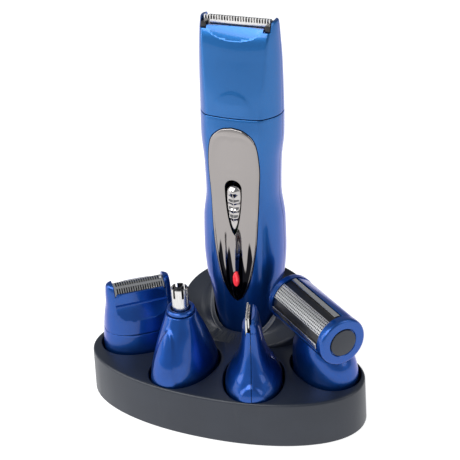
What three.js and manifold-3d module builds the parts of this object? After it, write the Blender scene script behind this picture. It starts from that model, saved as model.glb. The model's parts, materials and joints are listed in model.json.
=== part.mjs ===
// A cordless body groomer standing in its storage stand, with four spare heads in the stand's sockets.
// Millimetres, +Z up, front towards -Y. The origin is the middle of the non-slip pad under the stand.
import * as THREE from 'three';
import { mergeVertices } from 'three/addons/utils/BufferGeometryUtils.js';
import Module from 'manifold-3d';

const wasm = await Module();
wasm.setup();

// ---------------------------------------------------------------- driving dimensions
const GAP = 0.3; // clearance between touching pieces
const SIDES = 24; // points round a housing section
const FAR = 300; // larger than anything in the object

const STAND = { halfLength: 68.2, halfDepth: 32.1, exponent: 2.11, top: 24, underside: 0.8, flare: 0.6, wall: 2.2 };
const TOWER = { centreY: 33, halfWidth: 33.4, halfDepth: 21, slope: 0.6, offset: 16.1 };
const COLLAR = { creaseY: 35, creaseWidth: 24.5, creaseFront: 22, creaseBack: 16.5 };
const LIP = { centreY: 34, width: 18.8, front: 17.2, back: 15.5, height: 42.5, frontSlope: 1, backSlope: 0.35 };
const SOCKET = { halfLength: 20, halfWidth: 14.5, exponent: 2.2, floor: 5.6, wall: 1.6, floorThickness: 1.6 };
const PAD = { halfLength: 56, halfDepth: 20, thickness: 1.2, rearY: 33, rearWidth: 13, rearDepth: 17 };
const PLATE = { bottom: 1.5, top: 3.5 };
const BOSSES = [[0, -25], [-17, 44.5], [17, 44.5]];
const BOSS_RADIUS = 3;

// Socket places: centre, and the direction of the head's width in degrees.
const PLACES = {
  miniShaver: { x: -46.5, y: 6.7, turn: 36 },
  noseTrimmer: { x: -17.2, y: -9.9, turn: 74 },
  detailTrimmer: { x: 17.8, y: -10.4, turn: -74 },
  bodyShaver: { x: 47.5, y: 7.2, turn: -41 },
};
const HEAD_BOTTOM = SOCKET.floor + GAP; // where a spare head stands in its socket

// The handle leans back 3 degrees on an axis that meets the ground at y = 30.6.
const HANDLE = { footY: 30.6, lean: 3, exponent: 2.5, wall: 1.8, bottom: 8, neck: 139.3, seam: 139.6, wellGap: 0.8 };
// Half width, front depth and back depth of the handle's section, by height along its axis.
const HANDLE_SECTIONS = [
  [8, 7.5, 6.5, 6.5], [10, 9.8, 8.6, 8.6], [14, 11.6, 10.4, 10.4], [20, 12.9, 11.6, 11.6], [28, 14, 12.4, 12.4],
  [36, 15.2, 13, 12.8], [44, 16.3, 13.6, 13], [50, 17.5, 14.2, 13.4], [57, 18.9, 14.9, 14], [70, 19.7, 15.2, 14.4],
  [85, 19.4, 15.2, 14.2], [100, 17.6, 15.1, 13.8], [115, 18, 15.2, 13.8], [128, 19.4, 15.2, 13.9],
  [139.6, 19.6, 14, 13.6], [152, 19.5, 12.6, 12.6], [165, 19.3, 10.8, 11], [175, 18.8, 9.3, 9], [182, 18.4, 6.4, 6.6],
  [183.4, 18.2, 5.4, 5.6],
];
const PANEL_HALF_WIDTHS = [
  [135.2, 0], [134.4, 4.4], [132.6, 7.5], [130, 10], [127, 11.2], [121, 12.1], [114, 12.4], [103, 11.8],
  [87, 11.1], [77, 10.5], [66, 9], [56, 6.8], [49, 4], [46, 1.9], [44.8, 0],
];
const PANEL = { proud: 0.5, depth: 1, recess: 1.3 };
const SWITCH = { top: 106.5, bottom: 83.5, halfWidth: 3.2, slotTop: 109.4, slotBottom: 80.6, slotHalfWidth: 4.2, proud: 0.9 };
const LENS = { centre: 57, halfHeight: 4, halfWidth: 1.5, proud: 0.8, depth: 2.6 };

const HEAD_TOP = 180.4; // the trimmer head's deck, between its two horns
const HORN_TOP = 183.4;
const BLADE = { y: -3.3, top: 184.4, root: 182.1, bottom: 176.5, bandHalf: 13.7, combHalf: 15.6, teeth: 25 };
const CRANK = 1.2; // the drive cam's pin runs this far off the axis
const PLUG = { halfX: 13, halfY: 8.6, exponent: 2.5, bottom: 140, top: 146.5 };
const RECESS = { halfX: 13.6, halfY: 9.2 }; // what every head has for the handle's coupling plug

// What the handle holds, by height along its axis.
const HANDLE_SCREWS = [{ z: 34, back: 12.6 }, { z: 132, back: 13.8 }];
const SCREW = { headRadius: 2, shankRadius: 1, holeRadius: 2.4, holeStart: 6 };
const BATTERY = { radius: 7, bottom: 42, top: 92, y: 1.5 };
const CIRCUIT = { halfWidth: 9, front: -8, back: -6.6, bottom: 46, top: 95 };
const MOTOR = { radius: 8.6, bottom: 97, top: 125 };
const BRACKET = { bottom: 126, top: 129, bore: 5 };
const INLET = { radius: 4, bore: 1.3, floor: 20, top: 24 };
const CAM = { shaftRadius: 1, discRadius: 4, shaftBottom: 125.4, discBottom: 130, discTop: 145, pinTop: 150 };
const DRIVE_HOLE_RADIUS = 4.6;
const PLUG_BORE = 5.2;

// ---------------------------------------------------------------- materials
const material = (color, roughness, metalness) => new THREE.MeshStandardMaterial({ color, roughness, metalness });
const bluePlastic = () => material(0x1b46a8, 0.22, 0.35);
const standPlastic = () => material(0x3a3d45, 0.5, 0);
const blackPlastic = () => material(0x0d0d10, 0.45, 0);
const chrome = () => material(0xa8a5a1, 0.15, 1);
const steel = () => material(0xc9c8c6, 0.25, 1);
const rubber = () => material(0x1b1b1d, 0.85, 0);
const redLens = () => material(0xd8202c, 0.2, 0);
const whitePlastic = () => material(0xd8d8d2, 0.5, 0);
const board = () => material(0x1f6a3a, 0.6, 0);
const cellWrap = () => material(0x3c7a4e, 0.4, 0);
const screwSteel = () => material(0x8b8d90, 0.35, 1);

// ---------------------------------------------------------------- solids
function toManifold(geometry) {
  const bare = geometry.clone();
  bare.deleteAttribute('normal');
  bare.deleteAttribute('uv');
  const welded = mergeVertices(bare, 1e-4);
  const mesh = new wasm.Mesh({
    numProp: 3,
    vertProperties: new Float32Array(welded.attributes.position.array),
    triVerts: new Uint32Array(welded.index.array),
  });
  return new wasm.Manifold(mesh);
}

function toGeometry(manifold) {
  const mesh = manifold.getMesh();
  const geometry = new THREE.BufferGeometry();
  geometry.setAttribute('position', new THREE.BufferAttribute(new Float32Array(mesh.vertProperties), 3));
  geometry.setIndex(new THREE.BufferAttribute(new Uint32Array(mesh.triVerts), 1));
  const flat = geometry.toNonIndexed();
  flat.computeVertexNormals();
  return flat;
}

function combine(method, first, others) {
  let result = toManifold(first);
  for (const other of others) {
    result = result[method](toManifold(other));
  }
  return toGeometry(result);
}

const cut = (first, ...others) => combine('subtract', first, others);
const join = (first, ...others) => combine('add', first, others);
const common = (first, ...others) => combine('intersect', first, others);

// A closed skin over rings of points that run counter-clockwise seen from above, lowest ring first.
function skin(rings) {
  const count = rings[0].length;
  const vertices = rings.flat();
  const faces = [];
  for (let ring = 0; ring < rings.length - 1; ring += 1) {
    for (let i = 0; i < count; i += 1) {
      const a = ring * count + i;
      const b = ring * count + ((i + 1) % count);
      faces.push(a, b, b + count, a, b + count, a + count);
    }
  }
  for (const [ring, upwards] of [[0, false], [rings.length - 1, true]]) {
    const middle = new THREE.Vector3();
    rings[ring].forEach((point) => middle.addScaledVector(point, 1 / count));
    vertices.push(middle);
    for (let i = 0; i < count; i += 1) {
      const a = ring * count + i;
      const b = ring * count + ((i + 1) % count);
      faces.push(vertices.length - 1, ...(upwards ? [a, b] : [b, a]));
    }
  }
  const geometry = new THREE.BufferGeometry().setFromPoints(vertices);
  geometry.setIndex(faces);
  const flat = geometry.toNonIndexed();
  flat.computeVertexNormals();
  return flat;
}

// One level ring: a superellipse whose front (-Y) and back depths may differ.
function ring(z, halfX, front, back, exponent = 2, centreY = 0, count = SIDES) {
  const points = [];
  for (let i = 0; i < count; i += 1) {
    const angle = (i / count) * 2 * Math.PI;
    const c = Math.cos(angle);
    const s = Math.sin(angle);
    const x = halfX * Math.sign(c) * Math.abs(c) ** (2 / exponent);
    const y = (s < 0 ? front : back) * Math.sign(s) * Math.abs(s) ** (2 / exponent);
    points.push(new THREE.Vector3(x, centreY + y, z));
  }
  return points;
}

// A housing from a list of [z, half width, half depth] with an optional shift towards the front.
function housing(levels, exponent, count = SIDES) {
  return skin(levels.map(([z, halfX, halfY, forward = 0]) => ring(z, halfX, halfY, halfY, exponent, -forward, count)));
}

function box(x0, x1, y0, y1, z0, z1) {
  const geometry = new THREE.BoxGeometry(x1 - x0, y1 - y0, z1 - z0);
  return geometry.translate((x0 + x1) / 2, (y0 + y1) / 2, (z0 + z1) / 2);
}

function cylinder(radius, z0, z1, x = 0, y = 0, sides = 16) {
  const geometry = new THREE.CylinderGeometry(radius, radius, z1 - z0, sides);
  return geometry.rotateX(Math.PI / 2).translate(x, y, (z0 + z1) / 2);
}

// A closed ring turned about Z.
function tube(inner, outer, z0, z1, sides = 24) {
  return cut(cylinder(outer, z0, z1, 0, 0, sides), cylinder(inner, z0 - 1, z1 + 1, 0, 0, sides));
}

// A slab or block whose lower face lies on the plane z = slope * y + offset.
function above(slope, offset) {
  const geometry = new THREE.BoxGeometry(FAR, FAR, FAR);
  return geometry.translate(0, 0, FAR / 2).rotateX(Math.atan(slope)).translate(0, 0, offset);
}

// A prism with its outline in X and Z, running along Y.
function prismAlongY(outline, y0, y1) {
  const shape = new THREE.Shape(outline.map(([x, z]) => new THREE.Vector2(x, z)));
  const geometry = new THREE.ExtrudeGeometry(shape, { depth: y1 - y0, bevelEnabled: false });
  return geometry.rotateX(Math.PI / 2).translate(0, y1, 0);
}

// A prism with its outline in Y and Z, running along X.
function prismAlongX(outline, x0, x1) {
  const shape = new THREE.Shape(outline.map(([y, z]) => new THREE.Vector2(y, z)));
  const geometry = new THREE.ExtrudeGeometry(shape, { depth: x1 - x0, bevelEnabled: false });
  return geometry.rotateX(Math.PI / 2).rotateZ(Math.PI / 2).translate(x0, 0, 0);
}

function addPiece(group, name, geometry, finish) {
  const mesh = new THREE.Mesh(geometry, finish);
  mesh.name = name;
  group.add(mesh);
  return mesh;
}

// ---------------------------------------------------------------- the handle's outer form
function handleSection(z) {
  const upper = HANDLE_SECTIONS.findIndex(([height]) => height >= z);
  const [z1, ...high] = HANDLE_SECTIONS[Math.max(upper, 1)];
  const [z0, ...low] = HANDLE_SECTIONS[Math.max(upper, 1) - 1];
  const t = (z - z0) / (z1 - z0);
  return low.map((value, i) => value + (high[i] - value) * t);
}

// The handle's skin between two heights, moved outwards by grow.
function handleSkin(z0, z1, grow) {
  const between = HANDLE_SECTIONS.map(([z]) => z).filter((z) => z > z0 + 0.5 && z < z1 - 0.5);
  const rings = [z0, ...between, z1].map((z) => {
    const [halfX, front, back] = handleSection(z);
    return ring(z, halfX + grow, front + grow, back + grow, HANDLE.exponent);
  });
  return skin(rings);
}

function intoHandle(geometry) {
  return geometry.rotateX(THREE.MathUtils.degToRad(-HANDLE.lean)).translate(0, HANDLE.footY, 0);
}

// ---------------------------------------------------------------- stand
function atPlace(geometry, place) {
  return geometry.rotateZ(THREE.MathUtils.degToRad(place.turn)).translate(place.x, place.y, 0);
}

function ovalBlock(levels) {
  return skin(levels.map(([z, grow]) => {
    const halfDepth = STAND.halfDepth + grow;
    return ring(z, STAND.halfLength + grow, halfDepth, halfDepth, STAND.exponent, 0, 40);
  }));
}

function towerBlock(z0, grow, drop) {
  const { centreY, halfWidth, halfDepth, slope, offset } = TOWER;
  const sides = [z0, FAR / 4].map((z) => (
    ring(z, halfWidth + grow, halfDepth + grow, halfDepth + grow, 2, centreY, 32)));
  return cut(skin(sides), above(slope, offset - drop));
}

// The raised lip round the handle's well: its foot lies on the tower's slope and its rim rises to the back.
function collarBlock() {
  const foot = ring(0, COLLAR.creaseWidth, COLLAR.creaseFront, COLLAR.creaseBack, 2, COLLAR.creaseY, 32);
  const rim = ring(0, LIP.width, LIP.front, LIP.back, 2.4, LIP.centreY, 32);
  const low = foot.map((point) => point.clone().setZ(STAND.underside + STAND.wall + 4));
  foot.forEach((point) => point.setZ(TOWER.slope * point.y + TOWER.offset));
  rim.forEach((point) => {
    const behind = point.y - LIP.centreY;
    point.setZ(LIP.height + behind * (behind < 0 ? LIP.frontSlope : LIP.backSlope));
  });
  return skin([low, foot, rim]);
}

function socketBlock(place, z0, z1, grow) {
  const halfLength = SOCKET.halfLength + grow;
  const halfWidth = SOCKET.halfWidth + grow;
  return atPlace(housing([[z0, halfLength, halfWidth], [z1, halfLength, halfWidth]], SOCKET.exponent), place);
}

function wellBlock(z0, grow) {
  return intoHandle(handleSkin(Math.max(z0, HANDLE.bottom), 62, grow).translate(0, 0, Math.min(0, z0 - HANDLE.bottom)));
}

function buildStand(group) {
  const places = Object.values(PLACES);
  const { underside, top, flare, wall } = STAND;
  const outer = join(
    ovalBlock([[underside, flare], [top - 1, 0], [top - 0.3, -0.4], [top, -1.2]]),
    towerBlock(underside, 0.3, 0),
    collarBlock(),
  );
  const hollow = join(ovalBlock([[-1, flare - wall], [top - wall, -wall]]), towerBlock(-1, -wall, wall + 0.4));
  const cups = places.map((place) => (
    socketBlock(place, SOCKET.floor - SOCKET.floorThickness, top - 0.5, SOCKET.wall)));
  const wells = places.map((place) => socketBlock(place, SOCKET.floor, top + 20, 0));
  const bosses = BOSSES.map(([x, y]) => cylinder(BOSS_RADIUS, PLATE.top + GAP, FAR, x, y, 16));
  const screwHoles = BOSSES.map(([x, y]) => cylinder(1.3, 0, 14, x, y, 12));
  const inside = common(join(wellBlock(HANDLE.bottom - 2.4, HANDLE.wellGap + SOCKET.wall), ...cups, ...bosses), outer);
  const ribs = join(cut(outer, hollow), inside);
  const shell = cut(ribs, ...wells, wellBlock(HANDLE.bottom - HANDLE.wellGap, HANDLE.wellGap), ...screwHoles);
  addPiece(group, 'stand_shell', shell, standPlastic());

  const inset = wall + GAP;
  const plateOval = ovalBlock([[PLATE.bottom, flare - inset], [PLATE.top, flare - inset]]);
  const plateTower = cut(towerBlock(PLATE.bottom, -inset, 0), box(-FAR, FAR, -FAR, FAR, PLATE.top, FAR));
  const plateHoles = BOSSES.map(([x, y]) => cylinder(1.7, 0, 6, x, y, 16));
  addPiece(group, 'stand_bottom_plate', cut(join(plateOval, plateTower), ...plateHoles), blackPlastic());

  const padHeights = [0, PAD.thickness];
  const padOval = skin(padHeights.map((z) => ring(z, PAD.halfLength, PAD.halfDepth, PAD.halfDepth, 2.2, 0, 40)));
  const padRear = skin(padHeights.map((z) => ring(z, PAD.rearWidth, PAD.rearDepth, PAD.rearDepth, 2, PAD.rearY, 28)));
  addPiece(group, 'non_slip_pad', join(padOval, padRear), rubber());

  BOSSES.forEach(([x, y], i) => {
    const head = cylinder(2.6, 0.1, PLATE.bottom - GAP, x, y, 16);
    const shank = cylinder(1, 0.5, 11, x, y, 10);
    addPiece(group, `stand_screw_${i + 1}`, join(head, shank), screwSteel());
  });
}

// ---------------------------------------------------------------- handle
function panelOutline(grow) {
  const right = PANEL_HALF_WIDTHS.map(([z, x]) => {
    const end = z > 134.8 ? 1 : (z < 45.5 ? -1 : 0);
    return [x === 0 ? 0 : x + grow, z + end * grow];
  });
  const left = right.slice(1, -1).reverse().map(([x, z]) => [-x, z]);
  return [...right, ...left].reverse();
}

// A slot outline with a round top and a pointed bottom.
function dropOutline(top, bottom, halfWidth) {
  const points = [];
  const centre = top - halfWidth;
  for (let i = 0; i <= 8; i += 1) {
    const angle = (i / 8) * Math.PI;
    points.push([halfWidth * Math.cos(angle), centre + halfWidth * Math.sin(angle)]);
  }
  const shoulder = bottom + (centre - bottom) * 0.35;
  points.push([-halfWidth * 0.9, shoulder], [-0.6, bottom], [0.6, bottom], [halfWidth * 0.9, shoulder]);
  return points;
}

function ovalOutline(centre, halfHeight, halfWidth, sides = 16) {
  const points = [];
  for (let i = 0; i < sides; i += 1) {
    const angle = (i / sides) * 2 * Math.PI;
    points.push([halfWidth * Math.cos(angle), centre + halfHeight * Math.sin(angle)]);
  }
  return points;
}

// A screw or its hole, made along Z, turned to lie along +Y at height z of the handle.
function pointingBack(geometry, z) {
  return geometry.rotateX(-Math.PI / 2).translate(0, 0, z);
}

function buildHandle(group) {
  const { bottom, neck, wall } = HANDLE;
  const outer = handleSkin(bottom, neck, 0);
  const hollow = handleSkin(bottom + 2.4, neck - 2.8, -wall);
  const slot = prismAlongY(dropOutline(SWITCH.slotTop, SWITCH.slotBottom, SWITCH.slotHalfWidth), -FAR / 4, -6);
  const lensHole = prismAlongY(ovalOutline(LENS.centre, LENS.halfHeight + GAP, LENS.halfWidth + GAP), -FAR / 4, -6);
  const panelPocket = cut(prismAlongY(panelOutline(GAP), -FAR / 4, -6), handleSkin(bottom, neck, -PANEL.recess));
  const driveHole = cylinder(DRIVE_HOLE_RADIUS, neck - 6, neck + 1);
  const inletHole = cylinder(INLET.radius + GAP, bottom - 1, bottom + 6);
  const shell = cut(outer, hollow, panelPocket, slot, lensHole, driveHole, inletHole);
  const half = GAP / 2;
  const screwHoles = HANDLE_SCREWS.map(({ z }) => (
    pointingBack(cylinder(SCREW.holeRadius, SCREW.holeStart, 18, 0, 0, 16), z)));
  addPiece(group, 'handle_front_shell', cut(shell, box(-FAR, FAR, -half, FAR, -FAR, FAR)), bluePlastic());
  const rear = cut(shell, box(-FAR, FAR, -FAR, half, -FAR, FAR), ...screwHoles);
  addPiece(group, 'handle_rear_shell', rear, bluePlastic());

  const panelBlock = common(prismAlongY(panelOutline(0), -FAR / 4, -6), handleSkin(bottom, neck, PANEL.proud));
  const panel = cut(panelBlock, handleSkin(bottom, neck, -PANEL.depth), slot, lensHole);
  addPiece(group, 'front_panel', panel, chrome());

  const lensBlock = prismAlongY(ovalOutline(LENS.centre, LENS.halfHeight, LENS.halfWidth), -FAR / 4, -6);
  const lens = cut(common(lensBlock, handleSkin(bottom, neck, LENS.proud)), handleSkin(bottom, neck, -LENS.depth));
  addPiece(group, 'indicator_lens', lens, redLens());

  HANDLE_SCREWS.forEach(({ z, back }, i) => {
    const head = cylinder(SCREW.headRadius, back - 2.4, back - 0.7, 0, 0, 12);
    const shank = cylinder(SCREW.shankRadius, SCREW.holeStart, back - 2, 0, 0, 10);
    addPiece(group, `handle_screw_${i + 1}`, pointingBack(join(head, shank), z), screwSteel());
  });

  const cell = cylinder(BATTERY.radius, BATTERY.bottom, BATTERY.top, 0, BATTERY.y, 20);
  addPiece(group, 'battery_cell', cell, cellWrap());
  const { halfWidth, front, back } = CIRCUIT;
  addPiece(group, 'circuit_board', box(-halfWidth, halfWidth, front, back, CIRCUIT.bottom, CIRCUIT.top), board());
  addPiece(group, 'drive_motor', cylinder(MOTOR.radius, MOTOR.bottom, MOTOR.top, 0, 0, 24), steel());
  const bracketBlock = handleSkin(BRACKET.bottom, BRACKET.top, -wall - 0.8);
  addPiece(group, 'motor_bracket', cut(bracketBlock, cylinder(BRACKET.bore, 120, 135)), whitePlastic());
  const inlet = cut(
    cylinder(INLET.radius, bottom + 0.2, INLET.top),
    cylinder(INLET.bore, bottom - 1, INLET.floor, 0, 0, 12),
  );
  addPiece(group, 'charging_inlet', inlet, blackPlastic());

  const { halfX, halfY, exponent } = PLUG;
  const plugBody = housing([[PLUG.bottom, halfX, halfY], [PLUG.top, halfX, halfY]], exponent, 28);
  addPiece(group, 'coupling_plug', cut(plugBody, cylinder(PLUG_BORE, 130, 150)), blackPlastic());
}

function buildDriveCam(group) {
  const { shaftRadius, discRadius, shaftBottom, discBottom, discTop, pinTop } = CAM;
  const shaft = cylinder(shaftRadius, shaftBottom, discBottom + 1, 0, 0, 10);
  const disc = cylinder(discRadius, discBottom, discTop, 0, 0, 20);
  const pin = cylinder(shaftRadius, discTop - 1, pinTop, 0, -CRANK, 12);
  addPiece(group, 'drive_cam', join(shaft, disc, pin), whitePlastic());
}

function buildSwitch(group) {
  const outline = dropOutline(SWITCH.top, SWITCH.bottom, SWITCH.halfWidth);
  const body = common(prismAlongY(outline, -FAR / 4, -11.4), handleSkin(HANDLE.bottom, HANDLE.neck, SWITCH.proud));
  const grooves = [89.5, 94, 98.5].map((z) => box(-FAR, FAR, -FAR, -14.9, z, z + 1.4));
  addPiece(group, 'power_switch', cut(body, ...grooves), chrome());
}

// ---------------------------------------------------------------- trimmer head on the handle
// Teeth stand on a plate as one comb outline, extruded through the plate's thickness.
function combPlate(halfWidth, bottom, root, top, teeth, y0, y1) {
  const points = [[-halfWidth, bottom], [halfWidth, bottom]];
  const pitch = (2 * halfWidth) / (2 * teeth - 1);
  for (let i = 0; i < 2 * teeth - 1; i += 1) {
    const right = halfWidth - i * pitch;
    const level = i % 2 === 0 ? top : root;
    const taper = i % 2 === 0 ? pitch * 0.2 : -pitch * 0.2;
    points.push([right - taper, level], [right - pitch + taper, level]);
  }
  return prismAlongY(points, y0, y1);
}

function buildTrimmerHead(group) {
  const { seam, wall } = HANDLE;
  const outer = handleSkin(seam, HORN_TOP, 0);
  const hornCut = box(-16.6, 16.6, -FAR, FAR, HEAD_TOP, FAR);
  const hollow = handleSkin(seam - 2, HEAD_TOP - 2.4, -wall);
  const bladeGate = box(-16.6, 16.6, -5.2, 3.6, 170, FAR);
  const scoop = new THREE.SphereGeometry(1, 24, 14).scale(38, 10.1, 10.1).translate(0, -15.6, 183);
  const shell = cut(outer, hollow, hornCut, bladeGate, scoop);
  const half = GAP / 2;
  addPiece(group, 'head_front_cover', cut(shell, box(-FAR, FAR, -half, FAR, -FAR, FAR)), bluePlastic());
  addPiece(group, 'head_rear_cover', cut(shell, box(-FAR, FAR, -FAR, half, -FAR, FAR)), bluePlastic());

  const { y, top, root, bottom, bandHalf, combHalf, teeth } = BLADE;
  const carrierBlock = box(-16.2, 16.2, -4.9, 3.2, 172, root - 0.9);
  const bladeBay = box(-bandHalf - GAP, bandHalf + GAP, -10, 10, 174, FAR);
  addPiece(group, 'blade_carrier', cut(carrierBlock, bladeBay, box(-4.6, 4.6, -3, 2, 160, 180)), blackPlastic());
  const band = box(-bandHalf, bandHalf, y - 0.5, y + 0.4, bottom, root - 0.1);
  const comb = combPlate(combHalf, root - 0.5, root, top, teeth, y - 0.5, y + 0.4);
  addPiece(group, 'fixed_blade', join(band, comb), steel());
}

function buildMovingBlade(group) {
  const { y, top, root, bottom } = BLADE;
  const comb = combPlate(12, bottom + 0.5, root - 0.3, top - 0.4, 15, y + 0.7, y + 1.5);
  const stem = box(-3, 3, y + 1.2, 0.6, 150.6, bottom + 2);
  const eye = cut(box(-5.2, 5.2, -4, 4, 147.8, 151.6), box(-3.7, 3.7, -2.6, 2.6, 140, 150.3));
  addPiece(group, 'moving_blade', join(comb, stem, eye), steel());
}

// ---------------------------------------------------------------- spare heads, in their own frames
function placed(group, place) {
  const spot = new THREE.Group();
  spot.position.set(place.x, place.y, 0);
  spot.rotation.z = THREE.MathUtils.degToRad(place.turn);
  group.add(spot);
  return spot;
}

function plugRecess(z0, z1) {
  return housing([[z0, RECESS.halfX, RECESS.halfY], [z1, RECESS.halfX, RECESS.halfY]], PLUG.exponent, 24);
}

function buildMiniShaver(spot) {
  const seam = 33.4;
  const ringBlock = housing([[HEAD_BOTTOM, 18, 12.6], [24, 18.9, 13.4], [seam, 18.1, 12.4]], 2.3);
  addPiece(spot, 'mini_shaver_base_ring', cut(ringBlock, plugRecess(0, 40)), bluePlastic());

  const bodyBlock = housing([
    [seam + GAP, 18.05, 12.35], [40, 17.3, 10.8], [47, 16.2, 8.8], [53, 15.9, 6.9], [56.6, 15.5, 5.4], [58, 14.9, 4],
  ], 2.5);
  const foilBay = box(-12.4, 12.4, -FAR, FAR, 51, FAR);
  const scoop = cylinder(11, -11.5, 11.5, 0, 0, 24).rotateY(Math.PI / 2).translate(0, -16.6, 51);
  const room = housing([[30, 14, 8.6], [44, 12, 5]], 2.5, 20);
  const leverSlot = box(-2.6, 2.6, -2, 2, 40, 60);
  addPiece(spot, 'mini_shaver_body', cut(bodyBlock, foilBay, scoop, room, leverSlot), bluePlastic());

  const arch = (radius, drop) => cylinder(radius, -12.1, 12.1, 0, 0, 28).rotateY(Math.PI / 2).translate(0, 0, drop);
  const foil = cut(arch(5, 51.6), arch(4.5, 51.6), box(-FAR, FAR, -FAR, FAR, 0, 51.3));
  addPiece(spot, 'mini_shaver_foil', foil, steel());

  const blades = box(-10.6, 10.6, -2.8, 2.8, 51.3, 54.6);
  const lever = box(-1.1, 1.1, -1.5, 1.5, 24, 52);
  addPiece(spot, 'mini_shaver_cutter', join(blades, lever), steel());
}

function buildNoseTrimmer(spot) {
  const coneTop = 54.6;
  const cone = housing([
    [HEAD_BOTTOM, 18.2, 12.8], [24, 18.9, 13.4], [32, 17, 12.4], [38, 14.6, 11.2], [45, 11.6, 9.6], [50, 9.2, 8.2],
    [coneTop, 7.2, 7],
  ], 2.15);
  addPiece(spot, 'nose_trimmer_cone', cut(cone, plugRecess(0, 18), cylinder(3.4, 10, 60)), bluePlastic());
  addPiece(spot, 'nose_trimmer_collar', tube(4.4, 6.6, coneTop + GAP, coneTop + 2.6), bluePlastic());

  const slots = [0, 60, 120].map((degrees) => (
    box(-6, 6, -0.55, 0.55, 63, 70).rotateZ(THREE.MathUtils.degToRad(degrees))));
  addPiece(spot, 'nose_trimmer_guard', cut(tube(3.3, 4.05, coneTop + GAP, 68), ...slots), steel());
}

function buildNoseCutter(spot) {
  const shaft = cylinder(1.2, 20, 61, 0, 0, 12);
  const vanes = [0, 90].map((degrees) => box(-2.9, 2.9, -0.5, 0.5, 60, 67).rotateZ(THREE.MathUtils.degToRad(degrees)));
  addPiece(spot, 'nose_trimmer_cutter', join(shaft, ...vanes), steel());
}

function buildDetailTrimmer(spot) {
  const shoulder = 54.4;
  const block = housing([
    [HEAD_BOTTOM, 18.2, 12.8], [24, 18.9, 13.4], [30, 17.4, 12.6], [37.5, 14.2, 8.9], [43.6, 11.4, 6.3],
    [50, 9.4, 4.9], [shoulder, 8.6, 4.1],
  ], 2.2);
  const hood = housing([[50, 8.6, 4.4], [58, 8, 3.6], [60.6, 7.2, 2.6]], 2.4, 24);
  const bay = box(-7.8, 7.8, -2.6, 0.6, 50, 70);
  const throat = box(-3.2, 3.2, -2.6, 0.6, 14, 60);
  const front = cut(block, plugRecess(0, 18), bay, throat, box(-FAR, FAR, -GAP / 2, FAR, 0, FAR));
  const rear = cut(join(block, hood), plugRecess(0, 18), bay, throat, box(-FAR, FAR, -FAR, GAP / 2, 0, FAR));
  addPiece(spot, 'detail_trimmer_front_shell', front, bluePlastic());
  addPiece(spot, 'detail_trimmer_rear_shell', rear, bluePlastic());
  addPiece(spot, 'detail_trimmer_fixed_blade', combPlate(7.5, 50.4, 59.4, 61, 13, -2.2, -1.5), steel());
}

function buildDetailBlade(spot) {
  const comb = combPlate(6, 51, 59, 60.7, 10, -1.2, -0.6);
  const lever = box(-1.6, 1.6, -1.2, 0.2, 24, 52);
  addPiece(spot, 'detail_trimmer_moving_blade', join(comb, lever), steel());
}

// The body shaver's barrel lies along X over a domed base. Angles round it run from the front (0) to the top (90).
const BARREL = { y: -5, z: 53, radius: 11.5, half: 19.4, cap: 4, discRadius: 6.5 };
const FOIL = { from: 26, to: 66 };

function aroundBarrel(geometry) {
  return geometry.translate(0, BARREL.y, BARREL.z);
}

// A block that fills the barrel's section between two angles and two radii.
function barrelSector(fromDegrees, toDegrees, inner, outer, x0, x1, steps = 10) {
  const points = [];
  for (let i = 0; i <= 2 * steps + 1; i += 1) {
    const back = i > steps;
    const t = (back ? 2 * steps + 1 - i : i) / steps;
    const angle = THREE.MathUtils.degToRad(fromDegrees + (toDegrees - fromDegrees) * t);
    const radius = back ? inner : outer;
    points.push([-radius * Math.cos(angle), radius * Math.sin(angle)]);
  }
  return aroundBarrel(prismAlongX(points, x0, x1));
}

function barrelCylinder(radius, x0, x1, sides = 24) {
  return aroundBarrel(cylinder(radius, -x1, -x0, 0, 0, sides).rotateY(-Math.PI / 2));
}

function buildBodyShaver(spot) {
  const dome = housing([
    [HEAD_BOTTOM, 18.2, 12.8], [24, 18.9, 13.4], [31, 18, 13, 0.6], [37, 15.4, 11.8, 2], [42, 11.8, 10, 3.4],
    [48, 9, 8, 4.6],
  ], 2.15);
  const throat = box(-2.8, 2.8, -7, -3, 14, 60);
  const base = cut(dome, plugRecess(0, 18), barrelCylinder(BARREL.radius + GAP, -FAR, FAR), throat);
  addPiece(spot, 'body_shaver_base', base, bluePlastic());

  const { half, radius, cap, discRadius } = BARREL;
  addPiece(spot, 'body_shaver_barrel', cut(barrelSector(103, 342, 9, radius, -half, half, 20), throat), bluePlastic());
  addPiece(spot, 'body_shaver_front_rail', barrelSector(FOIL.from - 43, FOIL.from - 0.5, 9, radius - 0.7, -half, half, 8), blackPlastic());
  addPiece(spot, 'body_shaver_upper_rail', barrelSector(FOIL.to + 0.5, 102, 9, radius - 0.7, -half, half, 8), blackPlastic());
  addPiece(spot, 'body_shaver_foil', barrelSector(FOIL.from, FOIL.to, 10.4, radius - 0.1, -half, half, 10), steel());
  const strips = [['lower', -9, 4], ['upper', 84, 96]];
  for (const [side, from, to] of strips) {
    const strip = barrelSector(from, to, radius - 0.4, radius + 0.3, -half + 0.6, half - 0.6, 4);
    addPiece(spot, `body_shaver_${side}_trimmer`, strip, steel());
  }
  for (const [side, sign] of [['outer', 1], ['inner', -1]]) {
    const start = half + GAP;
    const ends = (depth, length) => (sign > 0 ? [start + depth, start + length] : [-start - length, -start - depth]);
    const capBlock = join(
      barrelCylinder(radius + 0.2, ...ends(0, cap - 0.8)),
      barrelCylinder(radius - 0.8, ...ends(cap - 1, cap)),
    );
    const pocket = barrelCylinder(discRadius + GAP, ...ends(cap - 1, cap + 1), 28);
    addPiece(spot, `body_shaver_${side}_cap`, cut(capBlock, pocket), bluePlastic());
    const disc = barrelCylinder(discRadius, ...ends(cap - 0.7, cap + 0.2), 28);
    addPiece(spot, `body_shaver_${side}_disc`, disc, standPlastic());
  }
}

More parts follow.
